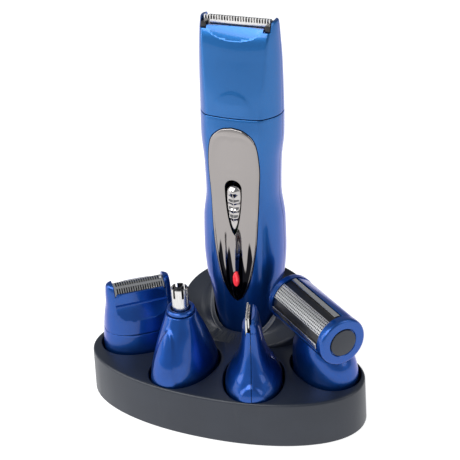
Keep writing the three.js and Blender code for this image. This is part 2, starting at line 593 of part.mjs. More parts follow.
function buildBodyCutter(spot) {
  const blades = barrelSector(FOIL.from + 0.5, FOIL.to - 0.5, 1, 9.9, -17, 17, 8);
  const { y, z } = BARREL;
  const lever = box(-1.2, 1.2, y - 1.2, y + 1.2, 22, z + 5);
  addPiece(spot, 'body_shaver_cutter', join(blades, lever), steel());
}

// ---------------------------------------------------------------- assembly
const groomer = new THREE.Group();
buildStand(groomer);

const handle = new THREE.Group();
handle.position.y = HANDLE.footY;
handle.rotation.x = THREE.MathUtils.degToRad(-HANDLE.lean);
groomer.add(handle);
for (const build of [buildHandle, buildDriveCam, buildSwitch, buildTrimmerHead, buildMovingBlade]) {
  build(handle);
}

const miniSpot = placed(groomer, PLACES.miniShaver);
buildMiniShaver(miniSpot);
const noseSpot = placed(groomer, PLACES.noseTrimmer);
buildNoseTrimmer(noseSpot);
buildNoseCutter(noseSpot);
const detailSpot = placed(groomer, PLACES.detailTrimmer);
buildDetailTrimmer(detailSpot);
buildDetailBlade(detailSpot);
const bodySpot = placed(groomer, PLACES.bodyShaver);
buildBodyShaver(bodySpot);
buildBodyCutter(bodySpot);

export default groomer;
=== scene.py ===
"""Body groomer in its stand with four spare heads: meshes, materials, studio and camera round the CAD frame.

Shapes are worked out in millimetres, in the CAD's own axes, and turned into metres when a piece is installed.
"""
import json
import math

import bpy
import bmesh
import numpy as np
from mathutils import Matrix, Vector


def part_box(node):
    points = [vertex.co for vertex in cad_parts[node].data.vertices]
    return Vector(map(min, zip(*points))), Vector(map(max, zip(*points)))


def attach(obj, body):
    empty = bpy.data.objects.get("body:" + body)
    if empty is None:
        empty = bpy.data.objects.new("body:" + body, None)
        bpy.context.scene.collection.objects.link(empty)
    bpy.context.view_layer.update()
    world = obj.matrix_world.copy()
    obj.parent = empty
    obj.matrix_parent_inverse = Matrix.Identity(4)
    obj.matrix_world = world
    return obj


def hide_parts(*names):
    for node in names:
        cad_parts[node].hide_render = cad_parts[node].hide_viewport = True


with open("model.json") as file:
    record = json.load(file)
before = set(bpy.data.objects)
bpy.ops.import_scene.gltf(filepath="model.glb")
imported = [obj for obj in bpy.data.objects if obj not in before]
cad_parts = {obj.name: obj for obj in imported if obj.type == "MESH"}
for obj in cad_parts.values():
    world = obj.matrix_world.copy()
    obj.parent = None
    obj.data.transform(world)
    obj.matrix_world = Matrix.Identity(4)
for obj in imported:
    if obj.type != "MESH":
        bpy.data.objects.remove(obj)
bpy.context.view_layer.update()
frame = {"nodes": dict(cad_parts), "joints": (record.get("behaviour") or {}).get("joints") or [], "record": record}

MM = 0.001
FAR = 300.0
GAP = 0.3  # between pieces that touch

# ---- driving dimensions, millimetres
STAND = dict(half_length=68.2, half_depth=32.1, exponent=2.11, top=24.0, underside=0.8, flare=0.6, wall=2.2,
             edge=1.3)
TOWER = dict(centre_y=33.0, half_width=33.4, half_depth=21.0, slope=0.6, offset=16.1)
COLLAR = dict(y=35.0, width=24.5, front=22.0, back=16.5)
LIP = dict(y=34.0, width=18.8, front=17.2, back=15.5, height=42.5, front_slope=1.0, back_slope=0.35)
SOCKET = dict(half_length=20.0, half_width=14.5, exponent=2.2, floor=5.6, wall=1.6, mouth=0.7)
HEAD_BOTTOM = SOCKET["floor"] + GAP

HANDLE_BOTTOM = 8.0
NECK = 139.3
SEAM = 139.6
HORN_TOP = 183.4
DECK = 180.4  # the trimmer head's top between its horns
HANDLE_EXPONENT = 2.5
HANDLE_WALL = 1.8
# height along the handle, half width, front depth, back depth
HANDLE_SECTIONS = np.array([
    [8, 7.5, 6.5, 6.5], [10, 9.8, 8.6, 8.6], [14, 11.6, 10.4, 10.4], [20, 12.9, 11.6, 11.6],
    [28, 14, 12.4, 12.4], [36, 15.2, 13, 12.8], [44, 16.3, 13.6, 13], [50, 17.5, 14.2, 13.4],
    [57, 18.9, 14.9, 14], [70, 19.7, 15.2, 14.4], [85, 19.4, 15.2, 14.2], [100, 17.6, 15.1, 13.8],
    [115, 18, 15.2, 13.8], [128, 19.4, 15.2, 13.9], [139.6, 19.6, 14, 13.6], [152, 19.5, 12.6, 12.6],
    [165, 19.3, 10.8, 11], [175, 18.8, 9.3, 9], [182, 18.4, 6.4, 6.6], [183.4, 18.2, 5.4, 5.6],
])
# height, half width of the front facet, how crisp its edge is
CREASES = np.array([
    [95, 13.4, 0], [112, 13.2, 0.35], [128, 12.9, 0.75], [141, 12.9, 1], [153, 14, 1], [166, 15, 1],
    [180, 16, 1], [184, 16.3, 1],
])
CREASE_LIMIT = 0.88  # of the half width
PANEL_HALF_WIDTHS = np.array([
    [135.2, 0], [134.4, 4.4], [132.6, 7.5], [130, 10], [127, 11.2], [121, 12.1], [114, 12.4], [103, 11.8],
    [87, 11.1], [77, 10.5], [66, 9], [56, 6.8], [49, 4], [46, 1.9], [44.8, 0],
])
SWITCH = dict(top=106.5, bottom=83.0, half=3.7, slot_top=109.4, slot_bottom=80.6, slot_half=4.2)
LENS = dict(centre=57.0, half_height=4.0, half_width=1.5)
BLADE = dict(y=-3.3, top=184.4, root=182.1, bottom=176.5, band_half=13.7, comb_half=15.6, teeth=25)
SCOOP = dict(y=-40.0, z=200.0, half_length=58.0, radius=39.8)
BARREL = dict(y=-5.0, z=53.0, radius=11.5, half=19.4, cap=4.0, disc=6.5)
FOIL = (26.0, 66.0)  # degrees round the barrel
# the black tongues of painted dark reflection at the panel's foot
DARK_REFLECTION_TONGUES = dict(first=2.9, pitch=4.3, length=13.0, middle=66.0, slant=0.7, soft=1.6)
PANEL_RIM = (0.6, 1.1)  # the painted dark reflection fades out over this distance from the panel's edge
PAINTED_SHADE_HEIGHTS = (35.0, 150.0)  # painted shade: the blue turns from darker to paler between these heights
HEAD_FOOT = ([HEAD_BOTTOM, 18.2, 12.8], [24, 18.9, 13.4])  # the lowest levels of a spare head
HORN_INSIDE = 16.6  # half the space between the trimmer head's horns
BLADE_GATE_FRONT = -5.2

FLOOR_GLOW = 0.86
WORLD_GLOW = 0.36
# name, place and size in metres, power in watts
LIGHTS = [
    ("left_box", (-0.75, -0.35, 0.45), (0.5, 0.8), 3.5),
    ("right_box", (0.8, 0.0, 0.5), (0.4, 0.7), 1.4),
    ("front_box", (-0.25, -0.65, 0.68), (0.8, 0.5), 5.5),
]
LIGHTS_AIM = Vector((0, 0.01, 0.07))


# ---- mesh making
def new_object(name, data):
    obj = bpy.data.objects.new(name, data)
    bpy.context.scene.collection.objects.link(obj)
    return obj


def make(name, vertices, faces):
    mesh = bpy.data.meshes.new(name)
    mesh.from_pydata([tuple(v) for v in vertices], [], [tuple(f) for f in faces])
    return new_object(name, mesh)


def bake(obj):
    """Applies every modifier of the object to its mesh."""
    evaluated = obj.evaluated_get(bpy.context.evaluated_depsgraph_get())
    mesh = bpy.data.meshes.new_from_object(evaluated)
    obj.modifiers.clear()
    obj.data = mesh
    return obj


def combine(operation, first, others):
    for other in others:
        modifier = first.modifiers.new("combine", "BOOLEAN")
        modifier.operation = operation
        modifier.solver = "MANIFOLD"
        modifier.object = other
    bake(first)
    for other in others:
        bpy.data.objects.remove(other)
    return first


def cut(first, *others):
    return combine("DIFFERENCE", first, others)


def join(first, *others):
    return combine("UNION", first, others)


def common(first, *others):
    return combine("INTERSECT", first, others)


def copy_of(obj):
    twin = obj.copy()
    twin.data = obj.data.copy()
    bpy.context.scene.collection.objects.link(twin)
    return twin


moved = Matrix.Translation


def turned(degrees, axis):
    return Matrix.Rotation(math.radians(degrees), 4, axis)


def shifted(obj, matrix):
    obj.data.transform(matrix)
    return obj


def smooth(table, at):
    """Monotone cubic curve through the table's rows; the first column is the position."""
    order = np.argsort(table[:, 0])
    x, y = table[order, 0], table[order, 1:]
    h = np.diff(x)[:, None]
    d = np.diff(y, axis=0) / h
    m = np.zeros_like(y)
    m[0], m[-1] = d[0], d[-1]
    same = d[:-1] * d[1:] > 0
    w1 = 2 * h[1:] + h[:-1]
    w2 = h[1:] + 2 * h[:-1]
    with np.errstate(divide="ignore", invalid="ignore"):
        mean = (w1 + w2) / (w1 / d[:-1] + w2 / d[1:])
    m[1:-1] = np.where(same, mean, 0)
    at = np.clip(np.atleast_1d(np.asarray(at, float)), x[0], x[-1])
    i = np.clip(np.searchsorted(x, at) - 1, 0, len(x) - 2)
    t = ((at - x[i]) / h[i, 0])[:, None]
    a, b, hi = y[i], y[i + 1], h[i]
    return (a * (2 * t**3 - 3 * t**2 + 1) + hi * m[i] * (t**3 - 2 * t**2 + t)
            + b * (3 * t**2 - 2 * t**3) + hi * m[i + 1] * (t**3 - t**2))


def ring(z, half_x, front, back=None, exponent=2.0, centre_y=0.0, count=128):
    """Points of a superellipse, counter-clockwise from +X; z is a number or a function of x and y."""
    back = front if back is None else back
    angle = np.linspace(0, 2 * math.pi, count, endpoint=False)
    c, s = np.cos(angle), np.sin(angle)
    x = half_x * np.sign(c) * np.abs(c) ** (2 / exponent)
    y = centre_y + np.where(s < 0, front, back) * np.sign(s) * np.abs(s) ** (2 / exponent)
    height = z(x, y) if callable(z) else np.full(count, float(z))
    return np.column_stack([x, y, height])


def bands(levels, count):
    """The faces between so many rings of points."""
    faces = []
    for start in range(0, (levels - 1) * count, count):
        for i in range(count):
            a, b = start + i, start + (i + 1) % count
            faces.append((a, b, b + count, a + count))
    return faces


def loft(name, rings, close="fan"):
    """A closed skin over rings of equal length, lowest first."""
    count = len(rings[0])
    vertices = np.vstack(rings)
    faces = bands(len(rings), count)
    top = (len(rings) - 1) * count
    if close == "fan":
        low, high = len(vertices), len(vertices) + 1
        vertices = np.vstack([vertices, rings[0].mean(0), rings[-1].mean(0)])
        for i in range(count):
            j = (i + 1) % count
            faces.append((low, j, i))
            faces.append((high, top + i, top + j))
    else:
        faces.append(tuple(range(count - 1, -1, -1)))
        faces.append(tuple(range(top, top + count)))
    return make(name, vertices, faces)


def raise_arch(points, side, top, spread, height, soft=0.28):
    """Raises the end at side * X under an arch; spread sets how fast the arch drops from its top."""
    x, y, z = points.T
    outward = np.clip(x * side / np.abs(x).max(), 0, 1)
    away = (top - spread * y**2 - z) / np.sqrt(1 + (2 * spread * y) ** 2)
    rise = 1 / (1 + np.exp(-away / soft)) * np.clip(outward * 4 - 0.6, 0, 1)
    out = points.copy()
    out[:, 0] += side * height * rise
    return out


def quarter_round(edge, count=5):
    """A rounded edge in steps from the wall to the end face: how far in, and how far short of the end."""
    return [(edge * (1 - math.cos(a)), edge * (1 - math.sin(a))) for a in np.linspace(0, math.pi / 2, count)]


def housing(name, levels, exponent, count=128, step=0.9, top_edge=0.0, bottom_edge=0.0, arch=None):
    """A housing with rounded ends through levels of (z, half width, half depth, shift to the front)."""
    table = np.array([(list(level) + [0.0])[:4] for level in levels], float)
    z0, z1 = table[:, 0].min(), table[:, 0].max()
    heights = list(np.linspace(z0 + bottom_edge, z1 - top_edge, max(3, int((z1 - z0) / step))))
    rings = []

    def add(z, grow):
        half_x, half_y, forward = smooth(table, z)[0]
        points = ring(z, half_x + grow, half_y + grow, None, exponent, -forward, count)
        rings.append(raise_arch(points, *arch) if arch else points)

    if bottom_edge:
        for inward, short in quarter_round(bottom_edge)[:-1]:
            add(z0 + inward, -short)
    for z in heights:
        add(z, 0.0)
    if top_edge:
        for inward, short in quarter_round(top_edge)[1:]:
            add(z1 - short, -inward)
    return loft(name, rings)


def box(x0, x1, y0, y1, z0, z1):
    corners = [(x, y, z) for z in (z0, z1) for y in (y0, y1) for x in (x0, x1)]
    faces = [(0, 2, 3, 1), (4, 5, 7, 6), (0, 1, 5, 4), (1, 3, 7, 5), (3, 2, 6, 7), (2, 0, 4, 6)]
    return make("box", corners, faces)


def mirrored_boxes(x0, x1, y0, y1, z0, z1):
    """A box at +X and its mirror image at -X."""
    return [box(-x1, -x0, y0, y1, z0, z1), box(x0, x1, y0, y1, z0, z1)]


def halves(obj):
    """The front half and the rear half, with a gap between them."""
    front = cut(copy_of(obj), box(-FAR, FAR, -GAP / 2, FAR, -FAR, FAR))
    return front, cut(obj, box(-FAR, FAR, -FAR, GAP / 2, -FAR, FAR))


def lathe(name, profile, sides=72):
    """A solid of revolution about Z from (radius, z) points, lowest first; it starts and ends on the axis."""
    rings = []
    for radius, z in profile:
        rings.append(ring(z, max(radius, 1e-4), max(radius, 1e-4), count=sides))
    return loft(name, rings)


def washer(name, profile, sides=72):
    """A ring of revolution about Z from a closed loop of (radius, z) points, counter-clockwise."""
    count = len(profile)
    vertices = []
    for i in range(sides):
        a = 2 * math.pi * i / sides
        vertices += [(r * math.cos(a), r * math.sin(a), z) for r, z in profile]
    faces = []
    for i in range(sides):
        j = (i + 1) % sides
        for k in range(count):
            m = (k + 1) % count
            faces.append((i * count + k, j * count + k, j * count + m, i * count + m))
    return make(name, vertices, faces)


def rod(radius, z0, z1, x=0.0, y=0.0, sides=48, edge=0.0):
    if edge:
        steps = quarter_round(edge)
        profile = [(radius - short, z0 + inward) for inward, short in steps]
        profile += [(radius - inward, z1 - short) for inward, short in steps]
    else:
        profile = [(radius, z0), (radius, z1)]
    return shifted(lathe("rod", profile, sides), moved((x, y, 0)))


def prism(outline, low, high, axis="Y"):
    """A prism: outline in X and Z along Y, or outline in Y and Z along X."""
    count = len(outline)
    if axis == "Y":
        points = [(x, y, z) for y in (low, high) for x, z in outline]
    else:
        points = [(x, y, z) for x in (low, high) for y, z in outline]
    faces = [tuple(range(count)), tuple(range(2 * count - 1, count - 1, -1))]
    for i in range(count):
        j = (i + 1) % count
        faces.append((i + count, j + count, j, i))
    obj = make("prism", points, faces)
    mesh_out(obj)
    return obj


def mesh_out(obj):
    """Turns all faces outwards."""
    work = bmesh.new()
    work.from_mesh(obj.data)
    bmesh.ops.recalc_face_normals(work, faces=work.faces)
    work.to_mesh(obj.data)
    work.free()


def rounded(obj, width, segments=2, angle=32.0):
    """Rounds the edges that turn more than the angle, in millimetres."""
    modifier = obj.modifiers.new("edge", "BEVEL")
    modifier.width = width
    modifier.segments = segments
    modifier.limit_method = "ANGLE"
    modifier.angle_limit = math.radians(angle)
    modifier.use_clamp_overlap = True
    modifier.miter_outer = "MITER_ARC"
    return bake(obj)


def thicken(sheet, thickness, offset):
    """Makes a sheet solid: offset -1 puts the thickness inside, 0 on both sides."""
    modifier = sheet.modifiers.new("skin", "SOLIDIFY")
    modifier.thickness = thickness
    modifier.offset = offset
    bake(sheet)
    mesh_out(sheet)
    return sheet


def install(obj, name, body, node, slot, matrix=None, angle=32.0, material=None):
    """Puts a finished millimetre mesh in place in metres, gives it its slot's material unless another is given,
    parents it to its body and hides the CAD node it stands for.
    """
    place = Matrix.Scale(MM, 4)
    if matrix is not None:
        place = place @ matrix
    obj.data.transform(place)
    obj.name = name
    obj.data.name = name
    for polygon in obj.data.polygons:
        polygon.use_smooth = True
    obj.data.set_sharp_from_angle(angle=math.radians(angle))
    obj.data.materials.clear()
    obj.data.materials.append(material or SLOT_MATERIALS[slot])
    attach(obj, body)
    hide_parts(node)


# ---- materials
class Surface:
    """A procedural material: nodes round one shader. Every input is a value or another node's output."""

    def __init__(self, name):
        self.material = bpy.data.materials.new(name)
        self.material.use_nodes = True
        self.tree = self.material.node_tree
        self.shader = self.tree.nodes["Principled BSDF"]

    def connect(self, socket, value):
        if isinstance(value, bpy.types.NodeSocket):
            self.tree.links.new(value, socket)
        else:
            socket.default_value = value

    def feed(self, node, **inputs):
        for name, value in inputs.items():
            self.connect(node.inputs[name.replace("_", " ")], value)
        return node

    def node(self, kind, **inputs):
        return self.feed(self.tree.nodes.new("ShaderNode" + kind), **inputs)

    def shade(self, **inputs):
        self.feed(self.shader, **inputs)

    def noise(self, scale, detail=2.0, stretch=(1, 1, 1)):
        place = self.node("TexCoord").outputs["Object"]
        at = self.node("Mapping", Vector=place, Scale=stretch).outputs["Vector"]
        return self.node("TexNoise", Vector=at, Scale=scale, Detail=detail).outputs["Fac"]

    def along(self, axis):
        """The place along an axis of the object's own frame, in millimetres."""
        place = self.node("TexCoord").outputs["Object"]
        return self.maths("DIVIDE", self.node("SeparateXYZ", Vector=place).outputs[axis], MM)

    def maths(self, operation, *values):
        node = self.node("Math")
        node.operation = operation
        for socket, value in zip(node.inputs, values):
            self.connect(socket, value)
        return node.outputs["Value"]

    def step(self, value, low, high, kind="SMOOTHSTEP"):
        """Runs from 0 at low to 1 at high."""
        node = self.node("MapRange", Value=value, From_Min=low, From_Max=high)
        node.interpolation_type = kind
        return node.outputs["Result"]

    def ramp(self, source, *stops):
        """A ramp between two stops, each a position and a colour."""
        node = self.node("ValToRGB", Fac=source)
        for element, (position, colour) in zip(node.color_ramp.elements, stops):
            element.position = position
            element.color = (*colour, 1)
        return node.outputs["Color"]

    def mix(self, factor, first, second):
        node = self.node("Mix")
        node.data_type = "RGBA"
        return self.feed(node, Factor=factor, A=first, B=second).outputs["Result"]

    def rough(self, source, low, high):
        spread = self.node("MapRange", Value=source, To_Min=low, To_Max=high)
        self.shade(Roughness=spread.outputs["Result"])

    def bump(self, height, strength, distance):
        node = self.node("Bump", Strength=strength, Distance=distance, Height=height)
        self.shade(Normal=node.outputs["Normal"])


def pearl_blue():
    """Gloss lacquer over a fine metallic blue with a violet edge; the blue is painted darker low down, as painted
    shade.
    """
    surface = Surface("pearl_blue")
    flakes = surface.noise(9000, 1)
    # painted shade: darker blue low down and paler blue higher up, set by height alone
    rise = surface.step(surface.along("Z"), *PAINTED_SHADE_HEIGHTS)
    painted_shaded_blue = surface.ramp(flakes, (0.3, (0.004, 0.05, 0.26)), (0.72, (0.008, 0.085, 0.37)))
    painted_lit_blue = surface.ramp(flakes, (0.3, (0.010, 0.095, 0.30)), (0.72, (0.018, 0.15, 0.42)))
    surface.shade(Base_Color=surface.mix(rise, painted_shaded_blue, painted_lit_blue), Metallic=0.86, Coat_Weight=0.6,
                  Coat_Roughness=0.07, Specular_Tint=(0.62, 0.55, 1.0, 1))
    surface.rough(surface.noise(60), 0.3, 0.38)
    surface.bump(flakes, 0.06, 0.00002)
    return surface.material


def grained_plastic(name, dark, light, low, high, grain=2600, strength=0.25):
    """Moulded plastic with a fine spark-eroded grain."""
    surface = Surface(name)
    fine = surface.noise(grain, 3)
    surface.shade(Base_Color=surface.ramp(surface.noise(45), (0.3, dark), (0.7, light)))
    surface.rough(fine, low, high)
    surface.bump(fine, strength, 0.00003)
    return surface.material


def brushed_metal(name, dark, light, low, high, stretch=(1, 1, 1), scale=900, strength=0.08):
    """Metal with fine grinding lines."""
    surface = Surface(name)
    lines = surface.noise(scale, 3, stretch)
    surface.shade(Base_Color=surface.ramp(lines, (0.3, dark), (0.7, light)), Metallic=1.0)
    surface.rough(lines, low, high)
    surface.bump(lines, strength, 0.00002)
    return surface.material


def panel_half_width(surface, height):
    """The panel's half width at a height, as a curve through the panel's own table."""
    low, high = PANEL_HALF_WIDTHS[-1, 0], PANEL_HALF_WIDTHS[0, 0]
    widest = float(PANEL_HALF_WIDTHS[:, 1].max())
    outline = surface.node("FloatCurve", Value=surface.step(height, low, high, "LINEAR"))
    curve = outline.mapping.curves[0]
    places = [((level - low) / (high - low), half / widest) for level, half in PANEL_HALF_WIDTHS[::-1]]
    curve.points[0].location = places[0]
    curve.points[-1].location = places[-1]
    for place in places[1:-1]:
        curve.points.new(*place)
    outline.mapping.update()
    return surface.maths("MULTIPLY", outline.outputs["Value"], widest)


def chrome_painted_reflection():
    """Chrome with painted reflection: it darkens to black towards the panel's foot, in tongues of painted dark
    reflection, and keeps a bright rim.
    """
    surface = Surface("chrome_painted_reflection")
    maths = surface.maths
    across = maths("ABSOLUTE", surface.along("X"))
    height = surface.along("Z")
    phase = maths("MULTIPLY", maths("SUBTRACT", across, DARK_REFLECTION_TONGUES["first"]), 2 * math.pi / DARK_REFLECTION_TONGUES["pitch"])
    wave = maths("MULTIPLY", maths("COSINE", phase), DARK_REFLECTION_TONGUES["length"] / 2)
    slant = maths("MULTIPLY", across, DARK_REFLECTION_TONGUES["slant"])
    tip = maths("ADD", maths("ADD", wave, slant), DARK_REFLECTION_TONGUES["middle"])
    # painted reflection: black tongues stand in for the dark surroundings mirrored in the chrome's lower part
    painted_reflection = surface.step(maths("SUBTRACT", tip, height), -DARK_REFLECTION_TONGUES["soft"], DARK_REFLECTION_TONGUES["soft"])
    inside = surface.step(maths("SUBTRACT", panel_half_width(surface, height), across), *PANEL_RIM)
    cloud = surface.noise(90)
    shade = maths("ADD", maths("MULTIPLY", painted_reflection, inside), maths("MULTIPLY", cloud, 0.02))
    surface.shade(Base_Color=surface.ramp(shade, (0.0, (0.3, 0.28, 0.272)), (1.0, (0.006, 0.006, 0.008))),
                  Metallic=1.0)
    surface.rough(cloud, 0.06, 0.09)
    return surface.material


def red_lens():
    surface = Surface("red_lens")
    red = surface.ramp(surface.noise(500, 1), (0.3, (0.75, 0.02, 0.03)), (0.7, (0.9, 0.05, 0.07)))
    surface.shade(Base_Color=red, Roughness=0.12, Coat_Weight=0.6,
                  Emission_Color=(1.0, 0.05, 0.07, 1), Emission_Strength=0.25)
    return surface.material


CHROME_WITH_PAINTED_REFLECTION = chrome_painted_reflection()
FOIL_STEEL = brushed_metal("foil_steel", (0.5, 0.5, 0.5), (0.62, 0.62, 0.62), 0.3, 0.42, scale=1500)
# the cutters are painted near black: painted shade for the dark space under the foils
SHADED_CUTTER_STEEL = brushed_metal("cutter_steel_painted_shade", (0.06, 0.06, 0.065), (0.1, 0.1, 0.11), 0.35, 0.5)
PLASTICS = {  # dark colour, light colour, lowest and highest roughness, grain and its strength
    "stand_plastic": ((0.011, 0.015, 0.025), (0.015, 0.020, 0.032), 0.33, 0.42),
    "black_plastic": ((0.004, 0.004, 0.005), (0.008, 0.008, 0.009), 0.3, 0.45),
    "rubber": ((0.010, 0.010, 0.011), (0.016, 0.016, 0.017), 0.75, 0.9, 1500, 0.5),
    "white_plastic": ((0.62, 0.62, 0.58), (0.7, 0.7, 0.66), 0.4, 0.5),
    "cell_wrap": ((0.02, 0.16, 0.05), (0.03, 0.22, 0.07), 0.25, 0.35),
    "board": ((0.01, 0.09, 0.035), (0.015, 0.13, 0.05), 0.4, 0.55),
}
METALS = {  # the same, with the stretch, the scale and the strength of the grinding lines
    "chrome_panel": ((0.42, 0.40, 0.39), (0.5, 0.48, 0.47), 0.06, 0.09, (1, 1, 0.2), 90, 0.0),
    "steel": ((0.55, 0.54, 0.53), (0.68, 0.67, 0.66), 0.16, 0.28, (1, 1, 0.1), 2500),
    "screw_steel": ((0.25, 0.25, 0.26), (0.34, 0.34, 0.35), 0.28, 0.4),
}
SLOT_MATERIALS = {"blue_plastic": pearl_blue(), "red_lens": red_lens()}
SLOT_MATERIALS |= {name: grained_plastic(name, *values) for name, values in PLASTICS.items()}
SLOT_MATERIALS |= {name: brushed_metal(name, *values) for name, values in METALS.items()}

# ---- where the handle and the heads stand
lift = next(joint for joint in frame["joints"] if joint["name"] == "handle_lift")
lean = math.atan2(lift["axis"][1], lift["axis"][2])
HANDLE_FOOT_Y = 30.6
IN_HANDLE = moved((0, HANDLE_FOOT_Y, 0)) @ Matrix.Rotation(-lean, 4, "X")


def spot(node, turn):
    """The frame of a spare head: it stands over the middle of that node's box, turned by so many degrees."""
    low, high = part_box(node)
    middle = (low + high) / 2 / MM
    return moved((middle.x, middle.y, 0)) @ turned(turn, "Z")


MINI_SPOT = spot("mini_shaver_base_ring", 36)
NOSE_SPOT = spot("nose_trimmer_cone", 74)
BODY_SPOT = moved((47.5, 7.2, 0)) @ turned(-41, "Z")
DETAIL_SPOT = moved((17.8, -10.4, 0)) @ turned(-74, "Z")


# ---- stand
def tower_plane(x, y):
    return TOWER["slope"] * y + TOWER["offset"]


def oval(z, grow, count=200):
    depth = STAND["half_depth"] + grow
    return ring(z, STAND["half_length"] + grow, depth, depth, STAND["exponent"], 0, count)


def oval_block(z0, z1, grow, edge):
    rings = [oval(z0, grow - 0.4), oval(z0 + 0.4, grow), oval(z1 - edge, min(grow, 0.0))]
    for inward, short in quarter_round(edge, 7)[1:]:
        rings.append(oval(z1 - short, min(grow, 0.0) - inward))
    return loft("oval", rings)


def tower_block(z0, grow, drop, edge):
    def level(shrink, height):
        return ring(height, TOWER["half_width"] + grow - shrink, TOWER["half_depth"] + grow - shrink,
                    None, 2, TOWER["centre_y"], 160)

    rings = [level(0.4 if edge else 0, z0), level(0, z0 + 0.4)]
    for shrink, lower in quarter_round(edge, 7) if edge else [(0, 0)]:
        rings.append(level(shrink, lambda x, y, lower=lower: tower_plane(x, y) - drop - lower))
    return loft("tower", rings)


def lip_height(x, y):
    behind = y - LIP["y"]
    return LIP["height"] + np.where(behind < 0, LIP["front_slope"], LIP["back_slope"]) * behind


def collar_block():
    """The raised collar: a hollow flare from its foot on the slope up to the rolled lip round the handle."""
    count = 160
    foot = ring(tower_plane, COLLAR["width"], COLLAR["front"], COLLAR["back"], 2, COLLAR["y"], count)
    edge = ring(lip_height, LIP["width"], LIP["front"], LIP["back"], 2.4, LIP["y"], count)
    low = foot.copy()
    low[:, 2] = STAND["underside"] + STAND["wall"] + 4
    rings = [low]
    for t in np.linspace(0, 1, 10):
        sag = 0.22 * math.sin(math.pi * t)
        row = foot + (edge - foot) * t
        row[:, 2] -= sag * np.abs(edge[:, 2] - foot[:, 2])
        rings.append(row)
    centre = np.array([0, LIP["y"], 0])
    for a in np.linspace(0, math.pi / 2, 6)[1:]:
        roll = 1.7
        inward = (centre - edge) * [1, 1, 0]
        inward /= np.linalg.norm(inward, axis=1)[:, None]
        row = edge + inward * roll * (1 - math.cos(a)) + [0, 0, 0.9 * math.sin(a)]
        rings.append(row)
    return loft("collar", rings)


def socket_block(place, z0, z1, grow, mouth=False):
    levels = [(z0, grow), (z1, grow)]
    if mouth:
        lip = SOCKET["mouth"]
        edge = [(STAND["top"] - short, grow + inward) for inward, short in quarter_round(lip, 6)]
        levels = [(z0, grow), *edge, (z1, grow + lip)]
    rings = [ring(z, SOCKET["half_length"] + g, SOCKET["half_width"] + g, None, SOCKET["exponent"], 0, 128)
             for z, g in levels]
    return shifted(loft("socket", rings), place)


def build_stand():
    places = [MINI_SPOT, NOSE_SPOT, DETAIL_SPOT, BODY_SPOT]
    underside, top, wall, flare = STAND["underside"], STAND["top"], STAND["wall"], STAND["flare"]
    outer = join(
        oval_block(underside, top, flare, STAND["edge"]),
        tower_block(underside, 0.3, 0, 1.2),
        collar_block(),
    )
    hollow = join(
        loft("hollow", [oval(-1, flare - wall), oval(top - wall, -wall)]),
        tower_block(-1, -wall, wall + 0.4, 0),
    )
    cup_bottom = SOCKET["floor"] - SOCKET["wall"]
    cups = [socket_block(place, cup_bottom, top - 0.5, SOCKET["wall"]) for place in places]
    well_wall = shifted(handle_solid(HANDLE_BOTTOM, 62, 0.8 + SOCKET["wall"], drop=-2.4), IN_HANDLE)
    inside = join(well_wall, *cups)
    inside = common(inside, copy_of(outer))
    shell = join(cut(outer, hollow), inside)
    wells = [socket_block(place, SOCKET["floor"], top + 20, 0, mouth=True) for place in places]
    handle_well = shifted(handle_solid(HANDLE_BOTTOM, 62, 0.8, drop=-0.8), IN_HANDLE)
    shell = cut(shell, *wells, handle_well)
    rounded(shell, 0.35, 2, 40)
    install(shell, "stand_casing", "stand", "stand_shell", "stand_plastic")


# ---- handle
def front_depth(x, s, grow=0.0):
    """How far the handle's front stands before its axis plane, at half width x and height s."""
    x = np.abs(np.asarray(x, float))
    half, front, _ = (smooth(HANDLE_SECTIONS, s) + grow).T
    crease, crisp = smooth(CREASES, s).T
    crease = np.minimum(crease + grow * 0.6, half * CREASE_LIMIT)
    rest = np.clip(1 - (x / half) ** HANDLE_EXPONENT, 0, 1)
    plain = front * rest ** (1 / HANDLE_EXPONENT)
    crown = 0.10
    facet = front * (1 - crown * (x / crease) ** 2)
    u = np.clip((x - crease) / (half - crease), 0, 1)
    flank = front * (1 - crown) * np.sqrt(np.clip(1 - u**1.15, 0, 1))
    creased = np.where(x < crease, facet, flank)
    return plain + (creased - plain) * crisp


def on_front(at, height):
    """Points so far out from the handle's front; each row of at is a half width and a height."""
    return np.column_stack([at[:, 0], -(front_depth(at[:, 0], at[:, 1]) + height), at[:, 1]])


SIDE_STEPS = 1 - (1 - np.linspace(0, 1, 15)) ** 2
FRONT_STEPS = np.concatenate([[-1, -0.965], np.linspace(-0.93, 0.93, 31), [0.965, 1]])


def handle_ring(s, grow=0.0):
    half, front, back = smooth(HANDLE_SECTIONS, s)[0] + grow
    crease = min(smooth(CREASES, s)[0][0] + grow * 0.6, half * CREASE_LIMIT)
    angles = np.linspace(0, math.pi, 49)[:-1]
    c, t = np.cos(angles), np.sin(angles)
    x = half * np.sign(c) * np.abs(c) ** (2 / HANDLE_EXPONENT)
    y = back * t ** (2 / HANDLE_EXPONENT)
    right = crease + (half - crease) * SIDE_STEPS
    front_x = np.concatenate([-right[::-1][:-1], crease * FRONT_STEPS, right[1:-1]])
    front_y = -front_depth(front_x, np.full(len(front_x), s), grow)
    corner = np.isclose(np.abs(front_x), crease)
    soft = front_y.copy()
    soft[1:-1] = 0.5 * front_y[1:-1] + 0.25 * (front_y[:-2] + front_y[2:])
    front_y = np.where(corner, soft, front_y)
    return np.column_stack([np.concatenate([x, front_x]), np.concatenate([y, front_y]),
                            np.full(len(x) + len(front_x), float(s))])


def thumb_arch(x, s):
    """A low step over the front of the trimmer head, under an arch."""
    reach = np.clip(1 - (np.abs(x) / 8.4) ** 2, 0, 1)
    arch = 143.4 + 8.0 * np.sqrt(reach)
    rise = 1 / (1 + np.exp((s - arch) / 0.28))
    fade = np.clip((s - 141.0) / 5.0, 0, 1)
    return 0.2 * rise * fade * reach**0.5


